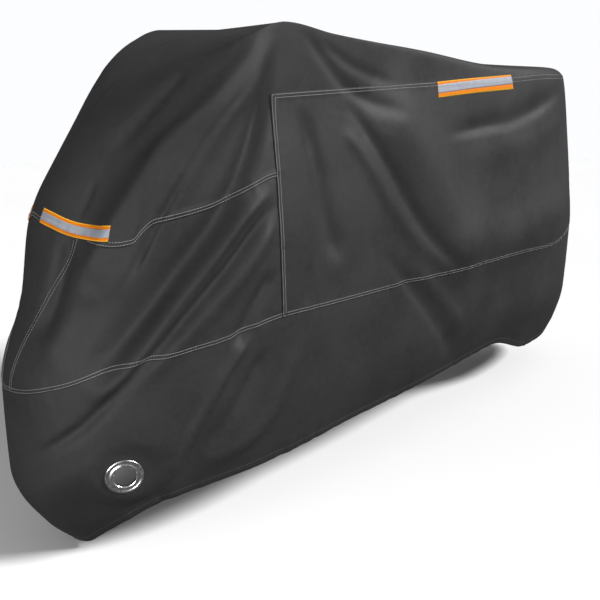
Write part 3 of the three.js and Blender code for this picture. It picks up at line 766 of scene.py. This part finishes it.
def sewing_thread(name, light, dark):
    """Two-ply thread, a little fuzzy and uneven in tone."""
    material, tree, shader, places = new_material(name, Roughness=0.62, Sheen_Weight=0.2)
    tone = tone_at(tree, places, 160.0)
    twist = noise(tree, places["Object"], 1800.0, Detail=1.0)
    vary(tree, shader, blend_colours(tree, tone, light, dark), normal=bump(tree, twist, 0.15 * MM))
    return material


RIBBON_NOMINAL = 34 * MM      # the width that a ribbon's UV map is drawn for


def orange_ribbon():
    """A woven fluorescent ribbon, yellower along its two bound edges. UV: metres along, and
    across from -0.5 to 0.5 of the ribbon's width times its nominal width."""
    material, tree, shader, places = new_material("orange ribbon", Specular_IOR_Level=0.15)
    weave = use_group(tree, WEAVE, places["UV"], Pitch=0.8 * MM)
    across = shader_node(tree, "SeparateXYZ", {"Vector": places["UV"]}).outputs["Y"]
    edge = between(tree, 0.41 * RIBBON_NOMINAL, 0.45 * RIBBON_NOMINAL, maths(tree, "ABSOLUTE", across))
    tone = tone_at(tree, places, 60.0)
    dye_and_hollow_shade = blend_colours(tree, tone, (0.72, 0.20, 0.003, 1), (0.66, 0.17, 0.002, 1))
    dye_and_hollow_shade = blend_colours(tree, edge, dye_and_hollow_shade, (0.82, 0.41, 0.02, 1))
    # the ribbon weave's hollows are painted a deeper orange: painted shade between its threads
    dye_and_hollow_shade = blend_colours(tree, times(tree, weave["Hollow"], 0.45), dye_and_hollow_shade, (0.36, 0.07, 0.002, 1))
    vary(tree, shader, dye_and_hollow_shade, between(tree, 0, 1, tone, 0.48, 0.62), bump(tree, weave["Height"], 0.12 * MM))
    return material


def reflective_film():
    """Silver film over fine sealed cells."""
    material, tree, shader, places = new_material("silver film", Metallic=0.1)
    rim = use_group(tree, HONEYCOMB, places["UV"], Cell=3.2 * MM)["Rim"]
    tone = tone_at(tree, places, 40.0)
    film = blend_colours(tree, tone, (0.24, 0.26, 0.30, 1), (0.28, 0.30, 0.34, 1))
    film = blend_colours(tree, times(tree, rim, 0.35), film, (0.38, 0.40, 0.44, 1))
    vary(tree, shader, film, between(tree, 0, 1, rim, 0.48, 0.60), bump(tree, rim, 0.08 * MM))
    return material


def polished_steel():
    """Rolled steel, bright, with faint handling marks."""
    material, tree, shader, places = new_material("polished steel", Metallic=1.0)
    tone = tone_at(tree, places, 110.0)
    marks = noise(tree, places["Object"], 900.0, Detail=2.0)
    vary(tree, shader, blend_colours(tree, tone, (0.74, 0.74, 0.74, 1), (0.82, 0.82, 0.82, 1)),
         between(tree, 0, 1, tone, 0.22, 0.33), bump(tree, marks, 0.02 * MM))
    return material


CLOTH_FINISH = coated_cloth()
RIBBON_FINISH, FILM_FINISH, STEEL_FINISH = orange_ribbon(), reflective_film(), polished_steel()
PALE_THREAD = sewing_thread("pale grey thread", (0.44, 0.44, 0.44, 1), (0.34, 0.34, 0.34, 1))
DARK_THREAD = sewing_thread("dark thread", (0.055, 0.055, 0.058, 1), (0.035, 0.035, 0.037, 1))
ORANGE_THREAD = sewing_thread("orange thread", (0.80, 0.30, 0.02, 1), (0.70, 0.24, 0.015, 1))


# The panels

def cloth_panel(node, sides, blocks, laps, holes=False):
    """One cut panel, on blocks of the net, each (columns, rows)."""
    bm = bmesh.new()
    for side in sides:
        for columns, rows in blocks:
            cloth_block(bm, side, columns, rows, laps)
    bmesh.ops.remove_doubles(bm, verts=bm.verts, dist=0.1 * MM)
    if holes:
        open_eyelet_holes(bm)
    panel = finish_piece(bm, "cloth_" + node, CLOTH_FINISH, node)
    thicken(panel, CLOTH)
    return panel


# How many layers high each panel lies along the seams where it laps over its neighbours.
HOOD_LAPS = {"hood_edge": 3}
FRONT_LAPS = {"skirt_edge": 1, "gusset_edge": 2}
GUSSET_LAPS = {"skirt_edge": 1}
REAR_LAPS = {LEFT: {"skirt_edge": 1, "bar_edge": 4, "shoulder_edge": 1, "back_edge": 2},
             RIGHT: {"skirt_edge": 1, "bar_edge": 4, "shoulder_edge": 1}}
SKIRT_LAPS = {}

NOSE, GUSSET, BARS, TAIL = (COLUMN[name] for name in COLUMN_SEAMS)
HEM, SKIRT, HOOD, SHOULDER, TOP = (ROW[name] for name in ROW_SEAMS)
TUCK = 3                      # a panel that is lapped over runs on to this line past the seam
PANELS = {
    name: cloth_panel(name, BOTH, blocks, laps, name == "lower_skirt")
    for name, blocks, laps in (
        ("hood_and_top_panel", (((NOSE, BARS + TUCK), (HOOD, TOP)),
                                ((BARS + TUCK, TAIL), (SHOULDER - TUCK, TOP))), HOOD_LAPS),
        ("front_gusset", (((NOSE, GUSSET + TUCK), (SKIRT, HOOD + TUCK)),), GUSSET_LAPS),
        ("lower_skirt", (((NOSE, TAIL), (HEM, SKIRT + TUCK)),), SKIRT_LAPS))}
for side, side_name in SIDE_NAMES.items():
    tail = TAIL + TUCK * (side == RIGHT)
    for node, block, laps in (
            ("front_side_panel_", ((GUSSET, BARS + TUCK), (SKIRT, HOOD + TUCK)), FRONT_LAPS),
            ("rear_side_panel_", ((BARS, tail), (SKIRT, SHOULDER)), REAR_LAPS[side])):
        PANELS[node + side_name] = cloth_panel(node + side_name, (side,), (block,), laps)


# Reflective strips

# The middle of each strip on the net, as (station, level), and its width.
Strip = namedtuple("Strip", "places width laps")
STRIPS = {
    "front": Strip(((-0.925, 0.553), (-0.732, 0.553), (-0.584, 0.562)), 30 * MM, HOOD_LAPS),
    "rear": Strip(((0.373, 0.677), (0.495, 0.683), (0.616, 0.688)), 39 * MM, REAR_LAPS[RIGHT]),
}
# A strip's two layers: each one's own share of its width, and how high its top lies.
Layer = namedtuple("Layer", "node slot finish lift thickness share")
LAYERS = {
    "ribbon": Layer("reflective_tape", "orange_tape", RIBBON_FINISH, 0.75 * MM, 0.7 * MM, 1.0),
    "film": Layer("reflective_band", "silver_band", FILM_FINISH, 1.15 * MM, 0.35 * MM, 0.54),
}
STRIP_CELLS = {"along": 64, "across": 8}
STRIP_BEND = (-0.012, 0.012)    # shares of its length over which a strip bends at its middle


def strip_surface(side, strip, along, across):
    """Cloth under a strip, and its normals. along: 0 to 1, across: metres from the middle."""
    stations, levels = np.array(strip.places).T
    lengths = way_of(stations)
    shares = (lengths - lengths[0]) / (lengths[-1] - lengths[0])
    soft = [np.interp(along + shift, shares, line) for line in (stations, levels) for shift in STRIP_BEND]
    station, level = (soft[0] + soft[1]) / 2, (soft[2] + soft[3]) / 2
    way = way_of(station)
    level = level + across / np.linalg.norm(face_slopes(side, way, level)[1], axis=-1)
    normals = face_normals(side, way, level)
    return dressed(face(side, way, level), normals, strip.laps), normals


def strip_piece(side, where, called):
    """One layer of a strip, which follows the cloth."""
    strip, layer = STRIPS[where], LAYERS[called]
    along, across = np.meshgrid(np.linspace(0, 1, STRIP_CELLS["along"] + 1),
                                np.linspace(-0.5, 0.5, STRIP_CELLS["across"] + 1), indexing="ij")
    cloth, normals = strip_surface(side, strip, along, across * strip.width * layer.share)
    top = cloth + normals * layer.lift
    run = np.zeros(along.shape)
    run[1:] = np.cumsum(np.linalg.norm(np.diff(top, axis=0), axis=2), axis=0)
    bm = bmesh.new()
    faces = grid_of(bm, top, run, across * layer.share * RIBBON_NOMINAL)
    if side == RIGHT:
        bmesh.ops.reverse_faces(bm, faces=faces)
    place = f"_{where}_{SIDE_NAMES[side]}"
    piece = finish_piece(bm, called + place, layer.finish, layer.node + place)
    thicken(piece, layer.thickness)


for side in BOTH:
    for where in STRIPS:
        for called in LAYERS:
            strip_piece(side, where, called)
STRIP_MIDDLES = {
    (side, name): strip_surface(side, strip, np.linspace(0, 1, 81), np.zeros(81))[0]
    for side in BOTH for name, strip in STRIPS.items()}


def under_strip(side, points):
    """Which points lie under a strip of this side."""
    found = np.zeros(len(points), bool)
    for name, strip in STRIPS.items():
        middle = STRIP_MIDDLES[side, name]
        gaps = np.linalg.norm(points[:, None] - middle[None], axis=2)
        nearest = gaps.argmin(1)
        inside = (nearest > 0) & (nearest < len(middle) - 1)
        found |= inside & (gaps.min(1) < strip.width / 2 + SEAM_STITCH.length / 2)
    return found


# Stitches

# Twin rows lie beside each seam, on the panel that laps over. Turns say whether a row stops
# at its own distance from the seam's start or end, where it meets the next seam's rows.
Rows = namedtuple("Rows", "seam places sides laps turns")
GUSSET_FOOT = float(cubic(GUSSET_LEVELS, GUSSET_STATIONS, SKIRT_SEAM))
TWIN_ROWS = [
    Rows("hood_edge", along_level(HOOD_SEAM, -1, 0), BOTH, HOOD_LAPS, (0, 0)),
    Rows("gusset_edge", along_gusset, BOTH, FRONT_LAPS, (1, 0)),
    Rows("skirt_edge", along_level(SKIRT_SEAM, -1, GUSSET_FOOT), BOTH, GUSSET_LAPS, (0, 0)),
    Rows("skirt_edge", along_level(SKIRT_SEAM, GUSSET_FOOT, 0), BOTH, FRONT_LAPS, (1, 0)),
    Rows("back_edge", along_station(1, SKIRT_SEAM, SHOULDER_SEAM), (LEFT,), REAR_LAPS[LEFT], (1, 1)),
]
for side in BOTH:
    at_back = int("back_edge" in REAR_LAPS[side])
    for seam, places, turns in (
            ("skirt_edge", along_level(SKIRT_SEAM, 0, 1), (1, at_back)),
            ("bar_edge", along_station(0, SKIRT_SEAM, SHOULDER_SEAM), (1, 1)),
            ("shoulder_edge", along_level(SHOULDER_SEAM, 0, 1), (1, at_back))):
        TWIN_ROWS.append(Rows(seam, places, (side,), REAR_LAPS[side], turns))
HEM_ROW = Rows("hem", along_level(0, -1, 1), BOTH, SKIRT_LAPS, (0, 0))
HEM_DEPTH = 18 * MM
Stitch = namedtuple("Stitch", "pitch length width height")
SEAM_STITCH = Stitch(5.6 * MM, 4.9 * MM, 1.0 * MM, 0.7 * MM)
STRIP_STITCH = Stitch(4.2 * MM, 3.4 * MM, 0.7 * MM, 0.5 * MM)
STITCH_RISE = 0.15            # of a stitch's middle over the cloth, in heights
STRIP_INSET = 1.6 * MM        # of the stitches from a strip's edge


def stitch_line(side, rows, offset):
    """Places and normals along one row of stitches, on the cloth."""
    t = np.linspace(0, 1, 1500)
    way, level = rows.places(t)
    along, up = face_slopes(side, way, level)
    toward_way, toward_level = SEAMS[rows.seam].rows
    way = way + toward_way * offset / np.linalg.norm(along, axis=1)
    level = level + toward_level * offset / np.linalg.norm(up, axis=1)
    points, normals = face(side, way, level), face_normals(side, way, level)
    run = run_along(points)
    shown = (run >= offset * rows.turns[0]) & (run <= run[-1] - offset * rows.turns[1])
    return dressed(points, normals, rows.laps)[shown], normals[shown]


def sew(bm, line, normals, stitch, hidden=None):
    """Short threads along a line, each lying on the cloth with its ends sunk in it."""
    run = run_along(line)
    count = int((run[-1] - stitch.length) // stitch.pitch) + 1
    starts = (run[-1] - stitch.length) * np.linspace(0, 1, count)
    first, last, out = (np.stack([np.interp(where, run, table[:, k]) for k in range(3)], -1)
                        for where, table in ((starts, line), (starts + stitch.length, line),
                                             (starts + stitch.length / 2, normals)))
    shown = ~hidden((first + last) / 2) if hidden else np.ones(count, bool)
    row = bmesh.new()
    for a, b, normal in zip(first[shown], last[shown], out[shown]):
        length = np.linalg.norm(b - a)
        along = (b - a) / length
        beside = np.cross(normal, along)
        beside /= np.linalg.norm(beside)
        up = np.cross(along, beside)
        middle = (a + b) / 2 + up * stitch.height * STITCH_RISE
        axes = (along * length / 2, beside * stitch.width / 2, up * stitch.height / 2)
        bmesh.ops.create_icosphere(row, subdivisions=1, radius=1, matrix=matrix_of(*axes, middle))
    sewn = bpy.data.meshes.new("row of stitches")
    row.to_mesh(sewn)
    row.free()
    bm.from_mesh(sewn)
    bpy.data.meshes.remove(sewn)


def seam_stitches():
    for name in SEAMS:
        bm = bmesh.new()
        for rows in TWIN_ROWS:
            if rows.seam == name:
                for side in rows.sides:
                    for offset in STITCH_ROWS:
                        line, normals = stitch_line(side, rows, offset)
                        sew(bm, line, normals, SEAM_STITCH, lambda points: under_strip(side, points))
        if name == "hem":
            for side in BOTH:
                sew(bm, *stitch_line(side, HEM_ROW, HEM_DEPTH), SEAM_STITCH)
        thread = DARK_THREAD if name == "hem" else PALE_THREAD
        finish_piece(bm, "stitches_" + name, thread)


def strip_stitches():
    """Rows that hold the ribbons down, beside both edges and across both ends."""
    bm = bmesh.new()
    for side in BOTH:
        for strip in STRIPS.values():
            reach = strip.width / 2 - STRIP_INSET
            length = run_along(strip_surface(side, strip, np.linspace(0, 1, 40), np.zeros(40))[0])[-1]
            end = STRIP_INSET / length
            ends, edges = (end, 1 - end), (-reach, reach)
            rows = [(ends, (edge, edge)) for edge in edges] + [((at, at), edges) for at in ends]
            for along, across in rows:
                along, across = np.linspace(*along, 120), np.linspace(*across, 120)
                cloth, normals = strip_surface(side, strip, along, across)
                sew(bm, cloth + normals * LAYERS["ribbon"].lift, normals, STRIP_STITCH)
    finish_piece(bm, "stitches_strips", ORANGE_THREAD)


seam_stitches()
strip_stitches()


# Eyelets

# The section of an eyelet, turned about its axis: radius, and height over the cloth.
EYELET_SECTION = (
    (23.6, -1.7), (24.6, -2.6), (35.8, -2.6), (37.0, -1.7), (36.4, -0.8),
    (25.2, -0.8), (25.2, 0.2),
    (40.2, 0.2), (41.0, 1.5), (39.8, 3.0), (37.4, 3.6), (35.2, 2.9), (33.6, 1.9),
    (31.4, 1.9), (29.6, 3.4), (27.2, 4.4), (25.0, 3.9), (23.6, 2.2),
)
EYELET_STEPS = 48


def eyelet(side):
    centre, normal, across, up = (Vector(v) for v in EYELET_FRAMES[side])
    bm = bmesh.new()
    ring = [bm.verts.new((radius * MM, 0, height * MM)) for radius, height in EYELET_SECTION]
    edges = [bm.edges.new((a, b)) for a, b in zip(ring, ring[1:] + ring[:1])]
    bmesh.ops.spin(bm, geom=ring + edges, cent=(0, 0, 0), axis=(0, 0, 1), angle=2 * pi,
                   steps=EYELET_STEPS, use_merge=True)
    bmesh.ops.remove_doubles(bm, verts=bm.verts, dist=0.01 * MM)
    bmesh.ops.recalc_face_normals(bm, faces=bm.faces)
    bmesh.ops.transform(bm, matrix=matrix_of(across, up, normal, centre), verts=bm.verts)
    node = "eyelet_" + SIDE_NAMES[side]
    piece = finish_piece(bm, node + "_steel", STEEL_FINISH, node)
    smooth = piece.modifiers.new("rolled edges", "SUBSURF")
    smooth.levels = smooth.render_levels = 2


for side in BOTH:
    eyelet(side)


# The fields of a record of what a panel was cut to, in metres, and its flat area in square metres. No
# such record is filled in here.
Cut = namedtuple("Cut", "flat area rests_on")


# Floor, light and camera

CAMERA = {"place": (-1.52, -1.46, 1.032), "turn": (72.8, 0, -41.3), "lens": 45, "sensor": 36}
FILL_PLACE, FILL_TARGET = (-3.0, -1.3, 0.35), (-0.8, 0.0, 0.3)
FLOOR_SIZE = 14.0
BACKDROP = 1.0
DOME = {"from": -0.2, "to": 0.9, "horizon": 0.09, "overhead": 0.32}


def pale_floor():
    material, tree, shader, places = new_material("pale floor", Roughness=0.75, Specular_IOR_Level=0.2)
    vary(tree, shader, blend_colours(tree, tone_at(tree, places, 0.6), (0.86, 0.86, 0.86, 1),
                                     (0.84, 0.84, 0.84, 1)))
    bm = bmesh.new()
    bmesh.ops.create_grid(bm, x_segments=1, y_segments=1, size=FLOOR_SIZE / 2)
    floor = mesh_object(bm, "floor", material)
    floor.visible_diffuse = floor.visible_glossy = False


def lamp(name, kind, direction, power, **settings):
    """A lamp that shines along a direction."""
    light = bpy.data.lights.new(name, kind)
    light.energy = power
    for label, value in settings.items():
        setattr(light, label, value)
    made = add_object(name, light)
    made.rotation_euler = Vector(direction).to_track_quat("-Z", "Y").to_euler()
    return made


def studio_world():
    """A pale backdrop, and for light a dome that is bright overhead and dim at the horizon."""
    world = bpy.data.worlds.new("studio")
    world.use_nodes = True
    tree = world.node_tree
    background = tree.nodes["Background"]
    places = shader_node(tree, "TexCoord").outputs
    upward = shader_node(tree, "SeparateXYZ", {"Vector": places["Generated"]})
    dome = between(tree, DOME["from"], DOME["to"], upward.outputs["Z"], DOME["horizon"], DOME["overhead"])
    seen = shader_node(tree, "LightPath").outputs["Is Camera Ray"]
    backdrop = times(tree, seen, maths(tree, "SUBTRACT", BACKDROP, dome))
    tree.links.new(maths(tree, "ADD", dome, backdrop), background.inputs["Strength"])
    background.inputs["Color"].default_value = (0.98, 0.985, 1.0, 1)
    bpy.context.scene.world = world


def photo_camera():
    data = bpy.data.cameras.new("camera")
    data.lens, data.sensor_width = CAMERA["lens"], CAMERA["sensor"]
    camera = add_object("camera", data)
    camera.location = CAMERA["place"]
    camera.rotation_euler = [radians(angle) for angle in CAMERA["turn"]]
    bpy.context.scene.camera = camera


bpy.context.scene.view_settings.view_transform = "Standard"
pale_floor()
studio_world()
lamp("key", "SUN", (-0.56, 0.60, -0.57), 5.1, angle=radians(12))
fill = lamp("front fill", "AREA", Vector(FILL_TARGET) - Vector(FILL_PLACE), 64, shape="DISK", size=1.2)
fill.location = FILL_PLACE
photo_camera()
